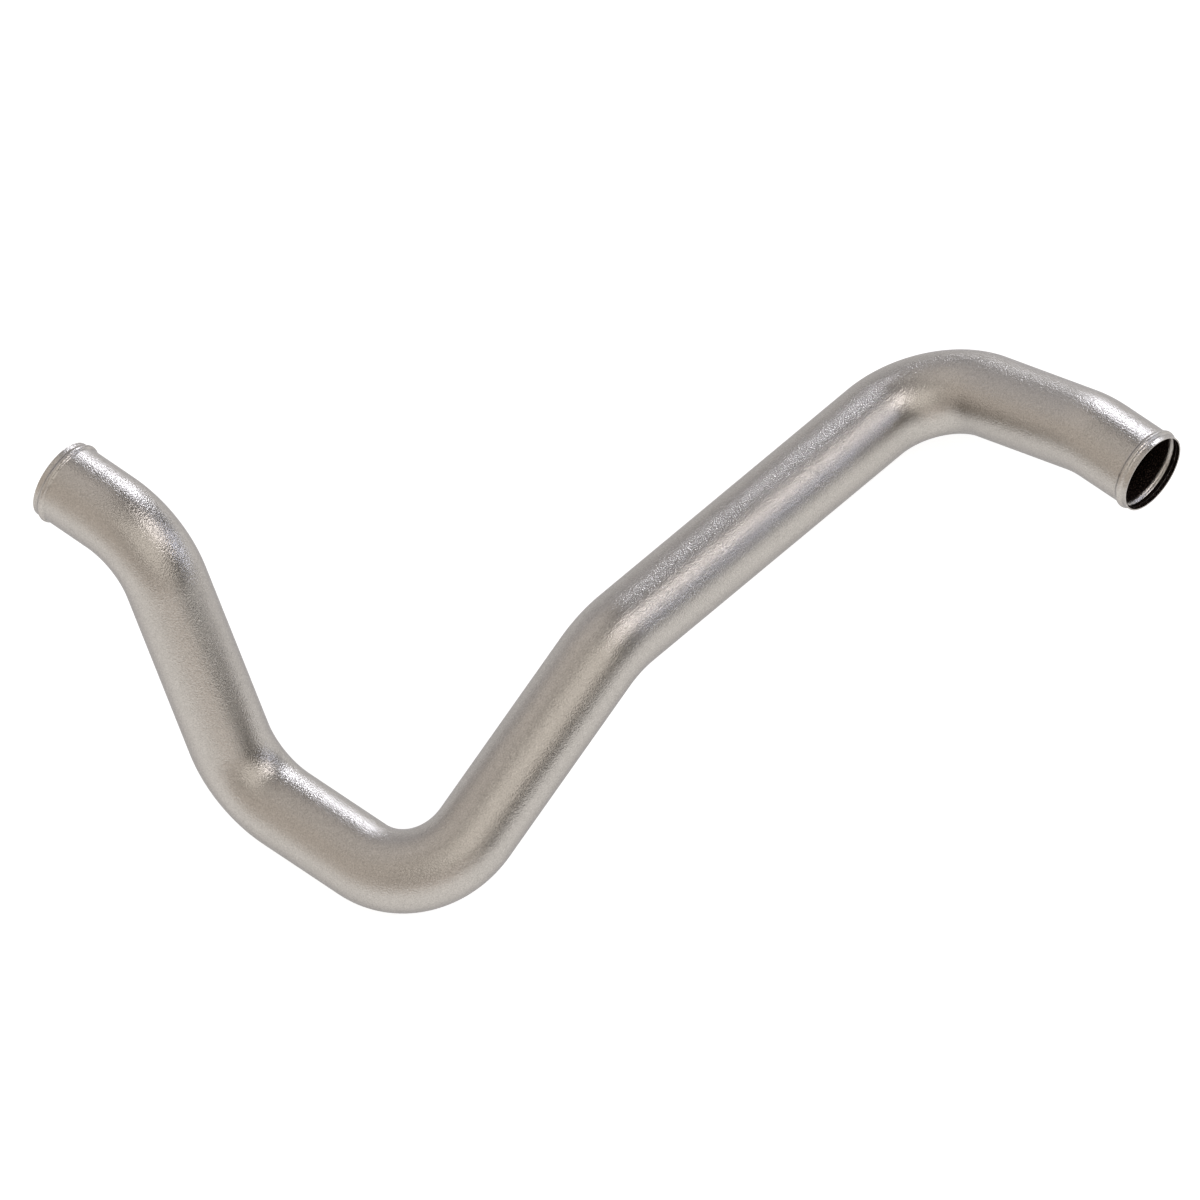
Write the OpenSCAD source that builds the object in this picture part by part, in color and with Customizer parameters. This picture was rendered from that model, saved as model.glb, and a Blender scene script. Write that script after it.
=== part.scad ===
// Charge air cooler tube: one length of thin steel tube, bent in six places on a single
// bend radius, with a rolled hose bead at each end. It is drawn lying on the ground.
// The bend schedule reads from the left mouth to the right mouth: a straight, a turn of the
// bending plane about the tube's own axis, a bend, the next straight, and so on.

/* [Tube] */
// Outside diameter of the tube
tube_od = 101.6; // [76:0.1:120]
// Thickness of the steel
wall = 1.65; // [1:0.05:2.5]
// Radius of every bend, at the middle of the tube
bend_radius = 104; // [90:1:140]

/* [Straights] */
// Left mouth to the first bend
straight_1 = 79.5; // [50:0.5:150]
// First bend to the second
straight_2 = 227; // [150:0.5:300]
// Second bend to the third
straight_3 = 123; // [80:0.5:160]
// Third bend to the fourth
straight_4 = 250.5; // [200:0.5:300]
// Fourth bend to the fifth
straight_5 = 441.5; // [380:0.5:500]
// Fifth bend to the sixth
straight_6 = 152; // [120:0.5:200]
// Sixth bend to the right mouth
straight_7 = 77.5; // [50:0.5:150]

/* [Bends] */
// Angle of the first bend
bend_1 = 62; // [55:0.5:70]
// Angle of the second bend
bend_2 = 63; // [55:0.5:70]
// Angle of the third bend
bend_3 = 89; // [80:0.5:95]
// Angle of the fourth bend
bend_4 = 31; // [20:0.5:40]
// Angle of the fifth bend
bend_5 = 88.5; // [80:0.5:95]
// Angle of the sixth bend
bend_6 = 19.5; // [10:0.5:30]
// How much the tube's radius draws in where it is bent
draw_in = 0.2; // [0.15:0.05:0.5]

/* [Turns of the bending plane] */
// Turn before the second bend, a plain reversal
turn_2 = -180; // [-190:0.5:-170]
// Turn before the third bend
turn_3 = -57; // [-70:0.5:-45]
// Turn before the fourth bend
turn_4 = -90; // [-100:0.5:-80]
// Turn before the fifth bend
turn_5 = -108.5; // [-120:0.5:-100]
// Turn before the sixth bend
turn_6 = 91; // [80:0.5:100]

/* [Hose beads] */
// Plain collar between the mouth and the bead
collar = 5.2; // [3:0.1:15]
// Height of the bead over the tube
bead_height = 2.8; // [1.5:0.1:4]
// Radius of the bead's crest and of its two feet, on the outside
bead_arc = 4; // [3:0.1:6]

/* [Lying at rest] */
// Roll of the first bend about the left mouth's axis
rest_roll = -105.3; // [-108:0.1:-103]
// Tilt of the left mouth's axis from upright
rest_tilt = 91; // [89:0.1:93]

/* [Hidden] */
$fn = 96;
steel = [0.66, 0.65, 0.62];
outer_r = tube_od / 2;
inner_r = outer_r - wall;
// How far a straight reaches into its bend, so that the two are one piece
lap = 0.2;
// Chords in each arc of the bead
arc_steps = 6;

// Half the bead's length, from its crest to the point where its foot meets the tube
bead_rise = sqrt(pow(2 * bead_arc, 2) - pow(2 * bead_arc - bead_height, 2));
// Slope of the bead's flank where crest and foot meet
bead_slope = acos((2 * bead_arc - bead_height) / (2 * bead_arc));
bead_centre = collar + bead_rise;
end_length = collar + 2 * bead_rise;

// Centres of the bead's first foot, crest and second foot, as [radius, way in from the mouth]
foot_1 = [outer_r + bead_arc, collar];
crest = [outer_r + bead_height - bead_arc, bead_centre];
foot_2 = [outer_r + bead_arc, end_length];

bends = [bend_1, bend_2, bend_3, bend_4, bend_5, bend_6];
turns = [0, turn_2, turn_3, turn_4, turn_5, turn_6];
straights = [straight_1, straight_2, straight_3, straight_4, straight_5, straight_6, straight_7];
last = len(straights) - 1;

// Points of an arc after its first one
function arc(centre, r, from, to) = [
    for (k = [1 : arc_steps]) let (a = from + (to - from) * k / arc_steps) centre + r * [cos(a), sin(a)]
];
// One face of the wall from the mouth inwards, at a depth below the outside
function wall_face(depth, length) = concat(
    [[outer_r - depth, 0], [outer_r - depth, collar]],
    arc(foot_1, bead_arc + depth, 180, 180 - bead_slope),
    arc(crest, bead_arc - depth, -bead_slope, bead_slope),
    arc(foot_2, bead_arc + depth, 180 + bead_slope, 180),
    [[outer_r - depth, length]]
);
function reversed(points) = [for (k = [len(points) - 1 : -1 : 0]) points[k]];

// A frame is the tube's own three axes: the way a bend leans, the bend's axis, the way it runs
function turned(f, a) = [f[0] * cos(a) + f[1] * sin(a), f[1] * cos(a) - f[0] * sin(a), f[2]];
function leaned(f, a) = [f[0] * cos(a) - f[2] * sin(a), f[1], f[2] * cos(a) + f[0] * sin(a)];
function along_bend(p, f, a) = p + bend_radius * (f[0] * (1 - cos(a)) + f[2] * sin(a));

// Rings that bound one straight and the bend after it, each a centre, an axis and a radius
function bend_rings(i, p, f) = [
    for (a = [0 : 1 : bends[i]]) [along_bend(p, f, a), leaned(f, a)[2], outer_r]
];
function rings(i, p, f) = let (q = p + straights[i] * f[2]) i == last
    ? [[q, f[2], outer_r], [q - bead_centre * f[2], f[2], outer_r + bead_height]]
    : let (g = turned(f, turns[i]), b = bends[i])
      concat(bend_rings(i, q, g), rings(i + 1, along_bend(q, g, b), leaned(g, b)));

rest_frame = [
    [cos(rest_roll), sin(rest_roll) * cos(rest_tilt), sin(rest_roll) * sin(rest_tilt)],
    [-sin(rest_roll), cos(rest_roll) * cos(rest_tilt), cos(rest_roll) * sin(rest_tilt)],
    [0, -sin(rest_tilt), cos(rest_tilt)]
];
all_rings = concat(
    [
        [[0, 0, 0], rest_frame[2], outer_r],
        [bead_centre * rest_frame[2], rest_frame[2], outer_r + bead_height]
    ],
    rings(0, [0, 0, 0], rest_frame)
);

// How far the tube reaches along row axis k, and the shift that stands its box on the origin
function reach(ring, k) = ring[2] * sqrt(max(0, 1 - pow(ring[1][k], 2)));
function lowest(k) = min([for (r = all_rings) r[0][k] - reach(r, k)]);
function highest(k) = max([for (r = all_rings) r[0][k] + reach(r, k)]);
rest_shift = [-(lowest(0) + highest(0)) / 2, -(lowest(1) + highest(1)) / 2, -lowest(2)];

// The tube's section, drawn in by a little where it is bent
module section(drawn = 0) {
    difference() {
        circle(r = outer_r - drawn);
        circle(r = inner_r - drawn);
    }
}

// A plain straight, which runs up from the origin
module straight(length) {
    translate([0, 0, -lap]) linear_extrude(height = length + 2 * lap) section();
}

// A straight with its mouth at the origin: a short collar, the bead rolled in the wall, plain tube
module beaded_straight(length) {
    reach_in = length + lap;
    rotate_extrude() polygon(concat(wall_face(0, reach_in), reversed(wall_face(wall, reach_in))));
}

// A bend that starts upright at the origin and leans towards +X
module bend(angle) {
    translate([bend_radius, 0, 0])
        rotate([0, 0, 180])
            rotate([90, 0, 0])
                rotate_extrude(angle = angle)
                    translate([bend_radius, 0]) section(draw_in);
}

// The tube from straight i onwards, each bend carrying the rest
module run(i) {
    length = straights[i];
    if (i == 0) {
        beaded_straight(length);
    } else if (i == last) {
        translate([0, 0, length]) rotate([180, 0, 0]) beaded_straight(length);
    } else {
        straight(length);
    }
    if (i < last) {
        translate([0, 0, length])
            rotate([0, 0, turns[i]]) {
                bend(bends[i]);
                translate([bend_radius, 0, 0])
                    rotate([0, bends[i], 0])
                        translate([-bend_radius, 0, 0]) run(i + 1);
            }
    }
}

// The whole tube, lying as it comes to rest
module charge_air_tube() {
    color(steel)
        translate(rest_shift)
            rotate([rest_tilt, 0, 0])
                rotate([0, 0, rest_roll]) run(0);
}

charge_air_tube();
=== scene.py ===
"""Charge air cooler tube: the dressed tube, its studio and its camera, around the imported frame."""

import logging
import math
from dataclasses import dataclass, field
from enum import Enum
from typing import Iterator

import bpy
from mathutils import Matrix, Vector


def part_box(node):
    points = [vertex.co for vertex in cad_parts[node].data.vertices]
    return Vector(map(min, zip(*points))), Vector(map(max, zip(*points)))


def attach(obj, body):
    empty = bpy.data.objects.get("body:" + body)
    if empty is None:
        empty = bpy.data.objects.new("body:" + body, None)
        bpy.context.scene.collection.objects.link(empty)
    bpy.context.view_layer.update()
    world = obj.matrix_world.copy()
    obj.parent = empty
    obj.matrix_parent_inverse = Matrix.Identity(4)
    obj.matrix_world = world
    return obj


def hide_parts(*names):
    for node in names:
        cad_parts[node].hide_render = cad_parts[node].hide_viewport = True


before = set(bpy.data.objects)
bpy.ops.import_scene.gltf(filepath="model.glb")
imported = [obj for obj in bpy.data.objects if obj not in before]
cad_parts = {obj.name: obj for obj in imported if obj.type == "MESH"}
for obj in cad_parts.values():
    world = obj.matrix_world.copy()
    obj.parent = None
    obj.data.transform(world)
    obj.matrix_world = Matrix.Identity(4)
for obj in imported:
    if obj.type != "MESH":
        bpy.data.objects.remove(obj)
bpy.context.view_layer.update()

log = logging.getLogger("charge_air_tube")
MM = 0.001
# Points of the wall closer than this are one point
MERGE_DISTANCE = 0.002 * MM
# Depth in the wall past which a point is on its inside face
INSIDE_DEPTH = 0.95
# The attribute that marks the points of the inside that are painted near black as shade
PAINTED_SHADE_MASK = "scaled_over"
Colour = tuple[float, float, float]


class Skin(Enum):
    """The two faces of the tube's wall."""

    OUTSIDE = "outside"
    INSIDE = "inside"


class Wiring:
    """Places nodes in a tree and joins them, left to right in the order they are made."""

    COLUMN_WIDTH = 40
    ROW_HEIGHT = 160
    ROWS = 6

    def __init__(self, tree: bpy.types.NodeTree) -> None:
        """Starts on a tree, with what it held cleared away.

        Args:
            tree: the node tree to fill.
        """
        self.tree = tree
        tree.nodes.clear()
        self.column = 0

    def node(self, kind: str, sockets: dict | None = None, **settings: object) -> bpy.types.Node:
        """Adds a node.

        Args:
            kind: the node's type name.
            sockets: what goes into its inputs, by name or place: a value or another node's output.
            settings: properties of the node itself.

        Returns:
            The new node.
        """
        made = self.tree.nodes.new(kind)
        row = self.column % self.ROWS
        made.location = (self.column * self.COLUMN_WIDTH, -row * self.ROW_HEIGHT)
        self.column += 1
        for name, value in settings.items():
            setattr(made, name, value)
        for name, value in (sockets or {}).items():
            self.feed(made.inputs[name], value)
        return made

    def feed(self, socket: bpy.types.NodeSocket, value: object) -> None:
        """Sets an input to a value, or links it when the value is an output.

        Args:
            socket: the input.
            value: a plain value, or another node's output.
        """
        if isinstance(value, bpy.types.NodeSocket):
            self.tree.links.new(value, socket)
        else:
            socket.default_value = value

    def math(self, operation: str, *values: object) -> bpy.types.NodeSocket:
        """Adds a Math node.

        Args:
            operation: the node's operation, such as MULTIPLY.
            values: its inputs in order, numbers or outputs.

        Returns:
            Its output.
        """
        made = self.node("ShaderNodeMath", dict(enumerate(values)), operation=operation)
        return made.outputs[0]

    def vector_math(self, operation: str, *values: object) -> bpy.types.Node:
        """Adds a Vector Math node.

        Args:
            operation: the node's operation, such as ADD.
            values: its inputs in order, vectors or outputs.

        Returns:
            The new node.
        """
        return self.node("ShaderNodeVectorMath", dict(enumerate(values)), operation=operation)

    def scaled(self, vector: object, factor: object) -> bpy.types.NodeSocket:
        """Multiplies a vector by a number.

        Args:
            vector: a vector, or an output that gives one.
            factor: a number, or an output that gives one.

        Returns:
            The product's output.
        """
        return self.node(
            "ShaderNodeVectorMath", {0: vector, "Scale": factor}, operation="SCALE"
        ).outputs[0]


@dataclass(frozen=True)
class Station:
    """One ring of the wall: a point on the tube's middle line, and where on the wall's loop it is.

    The heading and the side are unit vectors, the way is the distance from the left mouth, and the
    depth is 0 on the wall's outside and 1 on its inside.
    """

    centre: Vector
    heading: Vector
    side: Vector
    way: float
    depth: float


@dataclass(frozen=True)
class HoseBead:
    """The bead rolled in the wall near a mouth, and the bands on its hollow side that are left as
    steel, free of the painted shade.
    """

    collar: float = 5.2 * MM
    height: float = 2.8 * MM
    arc: float = 4.0 * MM
    lip: float = 0.5 * MM
    crest_gap: float = 0.3 * MM
    margin: float = 0.1 * MM

    @property
    def slope(self) -> float:
        """Angle of the flank where the crest meets a foot."""
        return math.acos((2 * self.arc - self.height) / (2 * self.arc))

    @property
    def rise(self) -> float:
        """Half the bead's length."""
        return 2 * self.arc * math.sin(self.slope)

    @property
    def middle(self) -> float:
        """Distance from the mouth to the crest."""
        return self.collar + self.rise

    @property
    def end(self) -> float:
        """Distance from the mouth to the plain tube behind the bead."""
        return self.collar + 2 * self.rise

    @property
    def bright_flank(self) -> tuple[float, float]:
        """Distances from the mouth at which the bright flank that faces out of it starts and ends."""
        return self.middle + self.crest_gap, self.end + self.margin

    @property
    def bright_lip(self) -> tuple[float, float]:
        """Distances at which the bright line starts and ends, where the collar meets the bead."""
        return self.collar - self.margin, self.collar + self.margin


@dataclass(frozen=True)
class BendSchedule:
    """The tube's route, from the left mouth to the right, as the bender is set for it."""

    straights: tuple[float, ...] = (79.5, 227.0, 123.0, 250.5, 441.5, 152.0, 77.5)
    bends: tuple[float, ...] = (62.0, 63.0, 89.0, 31.0, 88.5, 19.5)
    turns: tuple[float, ...] = (0.0, -180.0, -57.0, -90.0, -108.5, 91.0)
    bend_radius: float = 104 * MM
    rest_roll: float = -105.3
    rest_tilt: float = 91.0
    bend_step: float = 2.5
    lead: float = 5 * MM

    def length(self) -> float:
        """Length along the middle line."""
        return sum(self.straights) * MM + self.bend_radius * math.radians(sum(self.bends))

    def walk(self, bead: HoseBead) -> list[Station]:
        """Follows the route.

        Args:
            bead: the bead whose crest and feet need close stations near both mouths.

        Returns:
            Stations from mouth to mouth, in a frame whose origin is the left mouth.
        """
        tilt = Matrix.Rotation(math.radians(self.rest_tilt), 3, "X")
        axes = tilt @ Matrix.Rotation(math.radians(self.rest_roll), 3, "Z")
        side = axes.col[0].copy()
        place, way, found = Vector(), 0.0, []
        for number, straight in enumerate(self.straights):
            length, heading = straight * MM, axes.col[2].copy()
            for step in self.straight_steps(number, length, bead):
                found.append(Station(place + step * heading, heading, side, way + step, 0.0))
            place, way = place + length * heading, way + length
            if number == len(self.bends):
                break
            axes = axes @ Matrix.Rotation(math.radians(self.turns[number]), 3, "Z")
            angle = math.radians(self.bends[number])
            count = max(2, round(self.bends[number] / self.bend_step))
            for part in range(1, count):
                lean = angle * part / count
                turned = Matrix.Rotation(lean, 3, axes.col[1])
                here = place + self.bend_radius * bend_point(axes, lean)
                at = way + self.bend_radius * lean
                found.append(Station(here, turned @ axes.col[2], turned @ side, at, 0.0))
            place += self.bend_radius * bend_point(axes, angle)
            way += self.bend_radius * angle
            turned = Matrix.Rotation(angle, 3, axes.col[1])
            axes, side = turned @ axes, turned @ side
        return found

    def straight_steps(self, number: int, length: float, bead: HoseBead) -> list[float]:
        """Distances along a straight at which it has stations.

        Args:
            number: which straight, from 0 at the left mouth.
            length: its length.
            bead: the bead, which the first and the last straight have.

        Returns:
            The distances in order, with the start of a plain straight and its end among them.
        """
        steps = {0.0, self.lead, length - self.lead, length}
        if number == 0:
            steps = {*bead_steps(bead), length - self.lead, length}
        if number == len(self.bends):
            steps = {0.0, self.lead, *(length - step for step in bead_steps(bead))}
        return sorted(steps)


def bend_point(axes: Matrix, lean: float) -> Vector:
    """Where a bend of unit radius has got to after leaning over by an angle.

    Args:
        axes: the bend's leaning side, its axis and its heading, as columns.
        lean: the angle, in radians.

    Returns:
        The way from the bend's start.
    """
    return axes.col[0] * (1 - math.cos(lean)) + axes.col[2] * math.sin(lean)


def bead_steps(
    bead: HoseBead, per_arc: int = 7, first: float = 0.6 * MM, behind: float = 10 * MM
) -> list[float]:
    """Distances from a mouth at which the bead's curve needs a station.

    Args:
        bead: the bead.
        per_arc: steps on each of its four half arcs.
        first: distance of the first station from the mouth, which leaves room for the rim.
        behind: distance of the last station behind the bead.

    Returns:
        The distances, from just inside the rim to the plain tube behind the bead.
    """
    reach = bead.arc * math.sin(bead.slope)
    flank = [reach * math.sin(math.pi / 2 * k / per_arc) for k in range(per_arc + 1)]
    crest = [bead.middle + sign * step for step in flank for sign in (-1, 1)]
    feet = [bead.collar + step for step in flank] + [bead.end - step for step in flank]
    lips = [bead.collar - bead.lip, bead.end + bead.lip]
    plain = [first, bead.collar / 2, *lips, bead.end + behind]
    return sorted({round(step, 7) for step in crest + feet + plain})


@dataclass(frozen=True)
class Rim:
    """The cut edge of a mouth, with its sharp corners broken."""

    break_radius: float = 0.35 * MM
    steps: int = 4

    def profile(self, wall: float) -> Iterator[tuple[float, float]]:
        """The edge from the outside face round to the inside one.

        Args:
            wall: the wall's thickness.

        Yields:
            Distance from the mouth, and depth into the wall as a share of its thickness.
        """
        for corner in (Skin.OUTSIDE, Skin.INSIDE):
            for k in range(self.steps + 1):
                angle = math.pi / 2 * k / self.steps
                if corner is Skin.INSIDE:
                    angle = math.pi / 2 - angle
                inset = self.break_radius * (1 - math.cos(math.pi / 2 - angle))
                depth = self.break_radius * (1 - math.cos(angle)) / wall
                yield inset, depth if corner is Skin.OUTSIDE else 1 - depth


@dataclass(frozen=True)
class BlastedSteel:
    """Bare steel blasted to a fine satin, the finish of the tube's outside."""

    name: str = "blasted_steel"
    colour: Colour = (0.585, 0.555, 0.518)
    shade: Colour = (0.270, 0.254, 0.233)
    roughness: float = 0.29
    roughness_spread: float = 0.05
    edge_tint: Colour = (0.50, 0.50, 0.52)
    grain_size: float = 1.8 * MM
    grain_height: float = 0.58 * MM
    patch_size: float = 90 * MM

    def material(self) -> bpy.types.Material:
        """Builds the material, with grain and slow patches from the shared group.

        Returns:
            The metal.
        """
        made = bpy.data.materials.new(self.name)
        made.use_nodes = True
        wires = Wiring(made.node_tree)
        grain = wires.node(
            "ShaderNodeGroup",
            {"Grain Size": self.grain_size, "Patch Size": self.patch_size},
            node_tree=grain_group(),
        )
        colour = wires.node(
            "ShaderNodeMix",
            {"Factor": grain.outputs["Grain"], "A": (*self.shade, 1), "B": (*self.colour, 1)},
            data_type="RGBA",
        )
        spread = wires.math("MULTIPLY", grain.outputs["Patches"], self.roughness_spread)
        roughness = wires.math("ADD", spread, self.roughness)
        bump = wires.node(
            "ShaderNodeBump",
            {"Strength": 1.0, "Distance": self.grain_height, "Height": grain.outputs["Grain"]},
        )
        shader = wires.node(
            "ShaderNodeBsdfPrincipled",
            {
                "Base Color": colour.outputs["Result"],
                "Metallic": 1.0,
                "Roughness": roughness,
                "Specular Tint": (*self.edge_tint, 1),
                "Normal": bump.outputs[0],
            },
        )
        wires.node("ShaderNodeOutputMaterial", {"Surface": shader.outputs[0]})
        return made


@dataclass(frozen=True)
class InsidePaintedShade:
    """Painted shade inside the tube, past the bead: the steel there coloured near black."""

    name: str = "painted_inside_shade"
    # Near black: painted shade, standing in for the shade that falls inside the tube
    colour: Colour = (0.003, 0.002, 0.002)
    fleck: Colour = (0.050, 0.035, 0.028)
    fleck_start: float = 0.50
    fleck_full: float = 0.72
    roughness: float = 0.85
    grain_size: float = 1.6 * MM
    patch_size: float = 60 * MM

    def material(self) -> bpy.types.Material:
        """Builds the material, near black with fine flecks from the shared group.

        Returns:
            The painted shade, which has no sheen.
        """
        made = bpy.data.materials.new(self.name)
        made.use_nodes = True
        wires = Wiring(made.node_tree)
        grain = wires.node(
            "ShaderNodeGroup",
            {"Grain Size": self.grain_size, "Patch Size": self.patch_size},
            node_tree=grain_group(),
        )
        flecks = wires.node(
            "ShaderNodeMapRange",
            {
                "Value": grain.outputs["Grain"],
                "From Min": self.fleck_start,
                "From Max": self.fleck_full,
            },
        ).outputs[0]
        colour = wires.node(
            "ShaderNodeMix",
            {"Factor": flecks, "A": (*self.colour, 1), "B": (*self.fleck, 1)},
            data_type="RGBA",
        )
        shader = wires.node(
            "ShaderNodeBsdfPrincipled",
            {
                "Base Color": colour.outputs["Result"],
                "Metallic": 0.0,
                "Roughness": self.roughness,
                "Specular IOR Level": 0.0,
            },
        )
        wires.node("ShaderNodeOutputMaterial", {"Surface": shader.outputs[0]})
        return made


def grain_group() -> bpy.types.NodeTree:
    """The shared grain: fine blast marks and slow patches, on Object coordinates.

    Returns:
        The shader node group, built on the first call.
    """
    name = "steel_grain"
    if name in bpy.data.node_groups:
        return bpy.data.node_groups[name]
    tree = bpy.data.node_groups.new(name, "ShaderNodeTree")
    for label in ("Grain Size", "Patch Size"):
        tree.interface.new_socket(label, in_out="INPUT", socket_type="NodeSocketFloat")
    for label in ("Grain", "Patches"):
        tree.interface.new_socket(label, in_out="OUTPUT", socket_type="NodeSocketFloat")
    wires = Wiring(tree)
    given = wires.node("NodeGroupInput")
    where = wires.node("ShaderNodeTexCoord").outputs["Object"]
    fine = wires.node(
        "ShaderNodeTexNoise",
        {
            "Vector": where,
            "Scale": wires.math("DIVIDE", 1.0, given.outputs["Grain Size"]),
            "Detail": 1.0,
            "Roughness": 0.5,
        },
    )
    slow = wires.node(
        "ShaderNodeTexNoise",
        {
            "Vector": where,
            "Scale": wires.math("DIVIDE", 1.0, given.outputs["Patch Size"]),
            "Detail": 3.0,
            "Roughness": 0.55,
        },
    )
    wires.node("NodeGroupOutput", {"Grain": fine.outputs[0], "Patches": slow.outputs[0]})
    return tree


@dataclass
class ChargeAirTube:
    """The whole tube: one length of steel tube, bent, with a rolled bead at each mouth."""

    outer_radius: float = 50.8 * MM
    wall: float = 1.65 * MM
    sides: int = 144
    bead: HoseBead = field(default_factory=HoseBead)
    rim: Rim = field(default_factory=Rim)
    route: BendSchedule = field(default_factory=BendSchedule)

    def loop(self) -> list[Station]:
        """Follows the wall along the outside, round a rim, back along the inside and round the other.

        Returns:
            The stations of a closed loop, which ends one step before it starts again.
        """
        line = self.route.walk(self.bead)
        first, last = line[0], line[-1]
        length = self.route.length()
        inside = [Station(s.centre, s.heading, s.side, s.way, 1.0) for s in reversed(line)]
        right_rim = [
            self.at_rim(last, length - inset, depth) for inset, depth in self.rim.profile(self.wall)
        ]
        left_rim = [
            self.at_rim(first, inset, 1 - depth) for inset, depth in self.rim.profile(self.wall)
        ]
        return [*line, *right_rim, *inside, *left_rim]

    def at_rim(self, near: Station, way: float, depth: float) -> Station:
        """Makes a station of a rim.

        Args:
            near: the wall's own station nearest to the rim.
            way: the new station's distance along the tube.
            depth: its depth in the wall.

        Returns:
            The station, on the straight's own axis.
        """
        centre = near.centre + (way - near.way) * near.heading
        return Station(centre, near.heading, near.side, way, depth)

    def template(self) -> bpy.types.Object:
        """The loop as loose points that carry their heading, side, way and depth.

        Returns:
            The object that the tube's node tree works on.
        """
        stations = self.loop()
        mesh = bpy.data.meshes.new("charge_air_tube_steel")
        mesh.from_pydata([s.centre for s in stations], [], [])
        for name in ("heading", "side"):
            layer = mesh.attributes.new(name, "FLOAT_VECTOR", "POINT")
            for item, station in zip(layer.data, stations):
                item.vector = getattr(station, name)
        for name in ("way", "depth"):
            layer = mesh.attributes.new(name, "FLOAT", "POINT")
            for item, station in zip(layer.data, stations):
                item.value = getattr(station, name)
        made = bpy.data.objects.new(mesh.name, mesh)
        bpy.context.scene.collection.objects.link(made)
        return made

    def build(self) -> bpy.types.Object:
        """Sweeps the wall along the route and stands the tube where the frame has it.

        Returns:
            The tube as a plain mesh.
        """
        made = self.template()
        tree = wall_tree()
        modifier = made.modifiers.new("wall", "NODES")
        modifier.node_group = tree
        flank_start, flank_end = self.bead.bright_flank
        lip_start, lip_end = self.bead.bright_lip
        values = {
            "Outer Radius": self.outer_radius,
            "Wall": self.wall,
            "Length": self.route.length(),
            "Bead Middle": self.bead.middle,
            "Bead Rise": self.bead.rise,
            "Bead Height": self.bead.height,
            "Bead Arc": self.bead.arc,
            "Bead Slope": self.bead.slope,
            "Sides": self.sides,
            "Outside": BlastedSteel().material(),
            "Inside": InsidePaintedShade().material(),
            "Flank Start": flank_start,
            "Flank End": flank_end,
            "Lip Start": lip_start,
            "Lip End": lip_end,
        }
        for item in tree.interface.items_tree:
            if item.name in values:
                modifier[item.identifier] = values[item.name]
        swept = made.evaluated_get(bpy.context.evaluated_depsgraph_get())
        mesh = bpy.data.meshes.new_from_object(swept)
        made.modifiers.clear()
        made.data = mesh
        mesh.attributes.remove(mesh.attributes[PAINTED_SHADE_MASK])
        mesh.transform(Matrix.Translation(to_frame(mesh)))
        return made


def to_frame(mesh: bpy.types.Mesh) -> Vector:
    """Works out the way from where the tube was swept to where the frame has it.

    Args:
        mesh: the swept tube.

    Returns:
        The shift that puts the middle of its box on the middle of the CAD node's box.
    """
    low = Vector(min(vertex.co[k] for vertex in mesh.vertices) for k in range(3))
    high = Vector(max(vertex.co[k] for vertex in mesh.vertices) for k in range(3))
    cad_low, cad_high = (Vector(corner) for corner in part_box("charge_air_tube"))
    return (cad_low + cad_high - low - high) / 2


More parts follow.
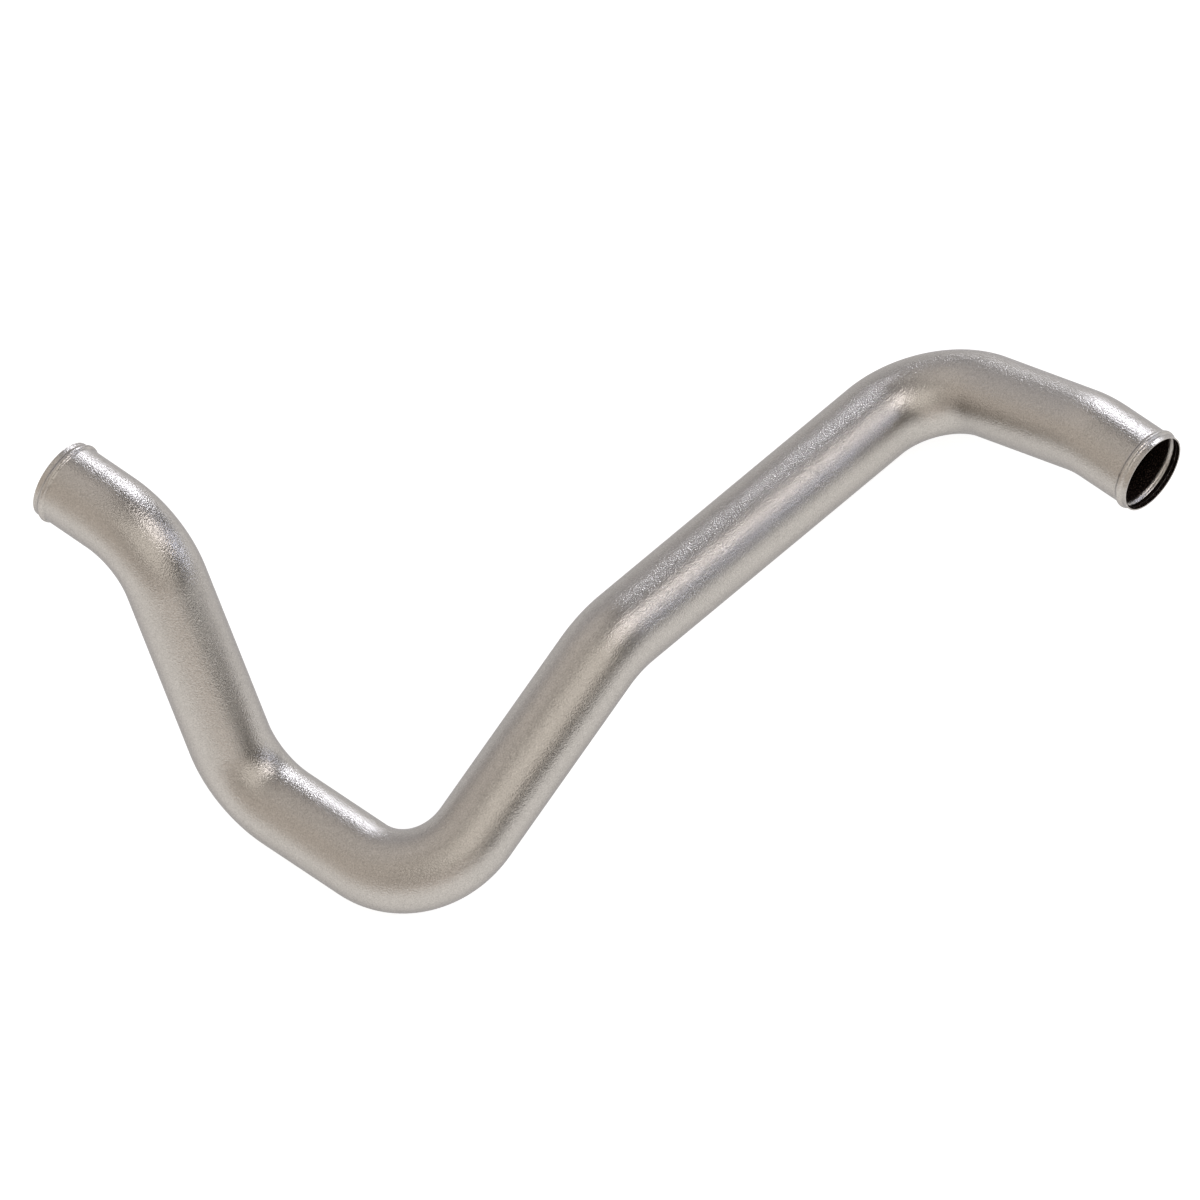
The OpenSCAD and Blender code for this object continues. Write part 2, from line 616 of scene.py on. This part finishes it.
def wall_tree() -> bpy.types.NodeTree:
    """The node tree that hangs a ring on every station and closes the wall.

    Returns:
        The Geometry Nodes tree, with the tube's sizes as its inputs.
    """
    tree = bpy.data.node_groups.new("tube_wall", "GeometryNodeTree")
    panel = tree.interface
    panel.new_socket("Geometry", in_out="INPUT", socket_type="NodeSocketGeometry")
    lengths = (
        "Outer Radius", "Wall", "Length", "Bead Middle", "Bead Rise", "Bead Height", "Bead Arc",
        "Bead Slope", "Flank Start", "Flank End", "Lip Start", "Lip End",
    )
    for label in lengths:
        panel.new_socket(label, in_out="INPUT", socket_type="NodeSocketFloat")
    panel.new_socket("Sides", in_out="INPUT", socket_type="NodeSocketInt")
    for label in ("Outside", "Inside"):
        panel.new_socket(label, in_out="INPUT", socket_type="NodeSocketMaterial")
    panel.new_socket("Geometry", in_out="OUTPUT", socket_type="NodeSocketGeometry")
    wires = Wiring(tree)
    given = wires.node("NodeGroupInput").outputs
    count = wires.node(
        "GeometryNodeAttributeDomainSize", {"Geometry": given["Geometry"]}
    ).outputs["Point Count"]
    rows = wires.math("ADD", count, 1)
    columns = wires.math("ADD", given["Sides"], 1)
    grid = wires.node(
        "GeometryNodeMeshGrid",
        {"Vertices X": rows, "Vertices Y": columns, "Size X": 1.0, "Size Y": 1.0},
    )
    index = wires.node("GeometryNodeInputIndex").outputs[0]
    row = wires.math("FLOOR", wires.math("DIVIDE", wires.math("ADD", index, 0.5), columns))
    column = wires.math("SUBTRACT", index, wires.math("MULTIPLY", row, columns))
    station = wires.math("FLOORED_MODULO", row, count)

    def read(name: str, data_type: str) -> bpy.types.NodeSocket:
        """Reads a station's attribute for the ring that a grid row becomes.

        Args:
            name: the attribute.
            data_type: its type.

        Returns:
            Its value at the row's station.
        """
        attribute = wires.node(
            "GeometryNodeInputNamedAttribute", {"Name": name}, data_type=data_type
        )
        return wires.node(
            "GeometryNodeSampleIndex",
            {"Geometry": given["Geometry"], "Value": attribute.outputs[0], "Index": station},
            data_type=data_type,
            clamp=True,
        ).outputs[0]

    centre, heading, side = (read(name, "FLOAT_VECTOR") for name in ("position", "heading", "side"))
    way, depth = (read(name, "FLOAT") for name in ("way", "depth"))
    radius = wall_radius(wires, given, way, depth)
    angle = wires.math("MULTIPLY", column, wires.math("DIVIDE", 2 * math.pi, given["Sides"]))
    across = wires.vector_math("CROSS_PRODUCT", side, heading).outputs[0]
    spoke = wires.vector_math(
        "ADD",
        wires.scaled(side, wires.math("COSINE", angle)),
        wires.scaled(across, wires.math("SINE", angle)),
    ).outputs[0]
    place = wires.vector_math("ADD", centre, wires.scaled(spoke, radius)).outputs[0]
    from_mouth = wires.math("MINIMUM", way, wires.math("SUBTRACT", given["Length"], way))

    def outside_of(start: object, end: object) -> bpy.types.NodeSocket:
        """Tells points outside a band from those in it.

        Args:
            start: where the band starts, as a distance from the nearer mouth.
            end: where it ends.

        Returns:
            1 before the start or past the end, and 0 between them.
        """
        before = wires.math("LESS_THAN", from_mouth, start)
        return wires.math("MAXIMUM", before, wires.math("GREATER_THAN", from_mouth, end))

    # Inside the tube, away from the bead's bright flank and lip, the wall gets the painted shade
    off_bright_bands = wires.math(
        "MULTIPLY",
        outside_of(given["Flank Start"], given["Flank End"]),
        outside_of(given["Lip Start"], given["Lip End"]),
    )
    on_inside = wires.math("GREATER_THAN", depth, INSIDE_DEPTH)
    scaled_over = wires.math("MULTIPLY", off_bright_bands, on_inside)
    marked = wires.node(
        "GeometryNodeStoreNamedAttribute",
        {"Geometry": grid.outputs["Mesh"], "Name": PAINTED_SHADE_MASK, "Value": scaled_over},
        data_type="BOOLEAN",
        domain="POINT",
    )
    rings = wires.node("GeometryNodeSetPosition", {"Geometry": marked.outputs[0], "Position": place})
    closed = wires.node(
        "GeometryNodeMergeByDistance", {"Geometry": rings.outputs[0], "Distance": MERGE_DISTANCE}
    )
    smooth = wires.node("GeometryNodeSetShadeSmooth", {"Geometry": closed.outputs[0]})
    realized = wires.node("GeometryNodeRealizeInstances", {"Geometry": smooth.outputs[0]})
    outside = wires.node(
        "GeometryNodeSetMaterial", {"Geometry": realized.outputs[0], "Material": given["Outside"]}
    )
    inside = wires.node(
        "GeometryNodeSetMaterial",
        {
            "Geometry": outside.outputs[0],
            "Selection": wires.node(
                "GeometryNodeInputNamedAttribute", {"Name": PAINTED_SHADE_MASK}, data_type="BOOLEAN"
            ).outputs[0],
            "Material": given["Inside"],
        },
    )
    wires.node("NodeGroupOutput", {"Geometry": inside.outputs[0]})
    return tree


def wall_radius(
    wires: Wiring, given: bpy.types.bpy_prop_collection, way: object, depth: object
) -> bpy.types.NodeSocket:
    """Works out how far the wall stands from the middle line.

    Args:
        wires: the tree being wired.
        given: the group's inputs.
        way: distance along the tube.
        depth: place in the wall, 0 outside and 1 inside.

    Returns:
        The radius, over the bead's crest, on its feet or on the plain tube.
    """
    sunk = wires.math("MULTIPLY", depth, given["Wall"])
    plain = wires.math("SUBTRACT", given["Outer Radius"], sunk)
    from_mouth = wires.math("MINIMUM", way, wires.math("SUBTRACT", given["Length"], way))
    off = wires.math("ABSOLUTE", wires.math("SUBTRACT", from_mouth, given["Bead Middle"]))
    crest_arc = wires.math("SUBTRACT", given["Bead Arc"], sunk)
    foot_arc = wires.math("ADD", given["Bead Arc"], sunk)
    crest_axis = wires.math(
        "SUBTRACT", wires.math("ADD", given["Outer Radius"], given["Bead Height"]), given["Bead Arc"]
    )
    foot_axis = wires.math("ADD", given["Outer Radius"], given["Bead Arc"])

    def chord(arc: object, offset: object) -> bpy.types.NodeSocket:
        """Works out how high an arc stands over its centre.

        Args:
            arc: the arc's radius.
            offset: distance from its centre, along the tube.

        Returns:
            The height, or 0 past the arc's end.
        """
        square = wires.math(
            "SUBTRACT", wires.math("MULTIPLY", arc, arc), wires.math("MULTIPLY", offset, offset)
        )
        return wires.math("SQRT", wires.math("MAXIMUM", square, 0.0))

    crest = wires.math("ADD", crest_axis, chord(crest_arc, off))
    to_foot = wires.math("SUBTRACT", given["Bead Rise"], off)
    foot = wires.math("SUBTRACT", foot_axis, chord(foot_arc, to_foot))
    crest_reach = wires.math("MULTIPLY", crest_arc, wires.math("SINE", given["Bead Slope"]))
    on_crest = wires.math("LESS_THAN", off, crest_reach)
    on_bead = wires.math("LESS_THAN", off, given["Bead Rise"])

    def pick(factor: object, otherwise: object, chosen: object) -> bpy.types.NodeSocket:
        """Chooses between two numbers.

        Args:
            factor: 0 or 1.
            otherwise: the number for 0.
            chosen: the number for 1.

        Returns:
            The chosen number.
        """
        mixed = wires.node("ShaderNodeMix", {"Factor": factor, "A": otherwise, "B": chosen})
        return mixed.outputs[0]

    return pick(on_bead, plain, pick(on_crest, foot, crest))


@dataclass(frozen=True)
class Softbox:
    """A soft lamp: where it hangs seen from the tube, its size in metres, and its light."""

    name: str
    azimuth: float
    elevation: float
    roll: float
    width: float
    height: float
    light: Colour
    distance: float = 6.0

    def hang(self, centre: Vector) -> bpy.types.Object:
        """Hangs the lamp and turns it to the tube.

        Args:
            centre: the point that it lights.

        Returns:
            The lamp.
        """
        brightness = max(self.light)
        data = bpy.data.lights.new(self.name, "AREA")
        data.shape = "RECTANGLE"
        data.size, data.size_y = self.width, self.height
        data.energy = brightness * math.pi * self.width * self.height
        data.color = [part / brightness for part in self.light]
        lamp = bpy.data.objects.new(self.name, data)
        bpy.context.scene.collection.objects.link(lamp)
        lamp.matrix_world = facing(
            self.azimuth, self.elevation, self.roll, centre, self.distance
        )
        return lamp


def direction(azimuth: float, elevation: float) -> Vector:
    """Unit vector towards a viewer or a lamp.

    Args:
        azimuth: degrees round the upright, 0 on the -Y side and 90 on the +X side.
        elevation: degrees over level.

    Returns:
        The vector.
    """
    a, e = math.radians(azimuth), math.radians(elevation)
    return Vector((math.sin(a) * math.cos(e), -math.cos(a) * math.cos(e), math.sin(e)))


def facing(azimuth: float, elevation: float, roll: float, place: Vector, away: float) -> Matrix:
    """Place of a camera or a lamp that looks at a point.

    Args:
        azimuth: degrees round the upright, as for a direction.
        elevation: degrees over level.
        roll: degrees about its own line of sight.
        place: the point that it looks at.
        away: its distance from the point.

    Returns:
        The object's matrix.
    """
    back = direction(azimuth, elevation)
    level = back.to_track_quat("Z", "Y").to_matrix().to_4x4()
    turn = Matrix.Rotation(math.radians(roll), 4, "Z")
    return Matrix.Translation(place + back * away) @ level @ turn


@dataclass(frozen=True)
class Studio:
    """A pale floor under plain soft light, and the camera at the photograph's angle."""

    azimuth: float = -33.24
    elevation: float = 57.77
    roll: float = -18.30
    target: tuple[float, float, float] = (-0.0615, -0.0545, 0.1371)
    frame_width: float = 1.4406
    camera_distance: float = 3.0
    floor_size: float = 12.0
    floor_paint: float = 0.35
    floor_white: float = 0.84
    floor_mirrored: float = 1.0
    dome: Colour = (0.05, 0.045, 0.04)
    softboxes: tuple[Softbox, ...] = (
        Softbox("window", 113.0, 18.1, -17.0, 2.70, 1.55, (8.80, 9.10, 10.2)),
        Softbox("right_key", 50.5, 50.2, 5.0, 2.20, 2.40, (5.20, 5.00, 5.05)),
        Softbox("right_strip", 54.2, 14.0, 3.0, 3.40, 0.75, (4.90, 5.20, 6.30)),
        Softbox("front_ceiling", -29.7, 54.6, -9.8, 7.42, 6.88, (1.18, 1.12, 1.05)),
        Softbox("far_wall", 166.2, 17.7, -13.1, 6.44, 3.70, (0.62, 0.61, 0.64)),
        Softbox("left_wall", -121.2, 16.1, 42.8, 9.47, 8.86, (0.80, 0.73, 0.67)),
        Softbox("front_wall", -48.1, 3.8, -0.7, 6.42, 3.10, (0.88, 0.78, 0.71)),
        Softbox("far_ceiling", 174.4, 57.3, -17.2, 5.67, 4.72, (0.92, 0.87, 0.84)),
    )

    def build(self) -> None:
        """Makes the camera, the floor, the sky and the lamps, under plain view settings."""
        self.camera()
        self.floor()
        self.sky()
        for box in self.softboxes:
            lamp = box.hang(Vector(self.target))
            log.info("lamp %s: %.2f by %.2f m", lamp.name, box.width, box.height)
        bpy.context.scene.view_settings.view_transform = "Standard"
        log.info("camera: %.4f m wide, %d lamps", self.frame_width, len(self.softboxes))

    def camera(self) -> None:
        """Makes a parallel camera on the photograph's line of sight."""
        data = bpy.data.cameras.new("camera")
        data.type = "ORTHO"
        data.ortho_scale = self.frame_width
        camera = bpy.data.objects.new("camera", data)
        bpy.context.scene.collection.objects.link(camera)
        camera.matrix_world = facing(
            self.azimuth, self.elevation, self.roll, Vector(self.target), self.camera_distance
        )
        bpy.context.scene.camera = camera

    def floor(self) -> None:
        """Makes the pale floor, which shows white yet keeps the tube's shadow."""
        half = self.floor_size / 2
        mesh = bpy.data.meshes.new("floor")
        corners = [(-half, -half, 0), (half, -half, 0), (half, half, 0), (-half, half, 0)]
        mesh.from_pydata(corners, [], [(0, 1, 2, 3)])
        floor = bpy.data.objects.new("floor", mesh)
        bpy.context.scene.collection.objects.link(floor)
        material = bpy.data.materials.new("pale_floor")
        material.use_nodes = True
        wires = Wiring(material.node_tree)
        paint = wires.node("ShaderNodeBsdfDiffuse", {"Color": (*[self.floor_paint] * 3, 1)})
        path = wires.node("ShaderNodeLightPath").outputs
        mirrored = wires.math("MULTIPLY", path["Is Glossy Ray"], self.floor_mirrored)
        seen = wires.math("MAXIMUM", path["Is Camera Ray"], path["Is Transmission Ray"])
        strength = wires.math("MAXIMUM", mirrored, wires.math("MULTIPLY", seen, self.floor_white))
        glow = wires.node("ShaderNodeEmission", {"Color": (1, 1, 1, 1), "Strength": strength})
        both = wires.node("ShaderNodeAddShader", {0: paint.outputs[0], 1: glow.outputs[0]})
        wires.node("ShaderNodeOutputMaterial", {"Surface": both.outputs[0]})
        mesh.materials.append(material)

    def sky(self) -> None:
        """Makes the dome: white to the camera, and a soft warm grey light on the tube."""
        world = bpy.data.worlds.new("sky")
        bpy.context.scene.world = world
        world.use_nodes = True
        wires = Wiring(world.node_tree)
        path = wires.node("ShaderNodeLightPath").outputs
        seen = wires.math("MAXIMUM", path["Is Camera Ray"], path["Is Transmission Ray"])
        colour = wires.node(
            "ShaderNodeMix",
            {"Factor": seen, "A": (*self.dome, 1), "B": (1, 1, 1, 1)},
            data_type="RGBA",
        )
        light = wires.node(
            "ShaderNodeBackground", {"Color": colour.outputs["Result"], "Strength": 1.0}
        )
        wires.node("ShaderNodeOutputWorld", {"Surface": light.outputs[0]})


def main() -> None:
    """Builds the studio and the tube, and hands the tube to the frame."""
    logging.basicConfig(level=logging.INFO)
    Studio().build()
    tube = ChargeAirTube().build()
    log.info("piece %s: %d faces", tube.name, len(tube.data.polygons))
    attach(tube, "root")
    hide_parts("charge_air_tube")


if __name__ == "__main__":
    main()
